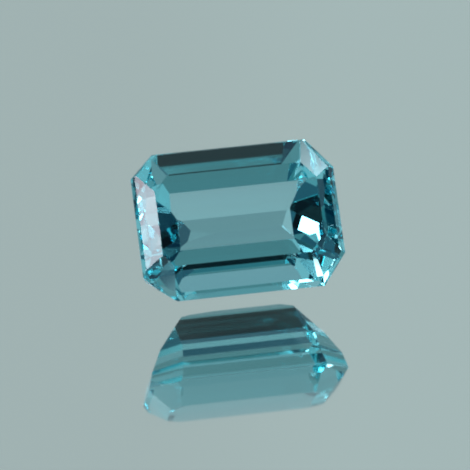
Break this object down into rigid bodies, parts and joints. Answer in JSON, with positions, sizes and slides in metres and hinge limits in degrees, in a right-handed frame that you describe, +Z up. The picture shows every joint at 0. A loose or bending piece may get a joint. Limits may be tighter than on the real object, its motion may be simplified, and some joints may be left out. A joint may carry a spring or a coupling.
{
  "type": "gemstone",
  "caption": "Emerald-cut indicolite tourmaline: a see-through blue-green stone with an oblong step-cut crown, cut corners and a stepped pavilion ending in a keel.",
  "frame": {"origin": "bottom centre of the bounding box, on the surface the stone lies on", "axes": "+X along the stone's length, -Y towards the side that the table leans to, +Z up as the stone lies on its resting facet"},
  "size_m": [0.008, 0.005, 0.0047],
  "materials": {
    "gemstone": "polished"
  },
  "bodies": {
    "root": {"gemstone": "gemstone"}
  },
  "joints": []
}
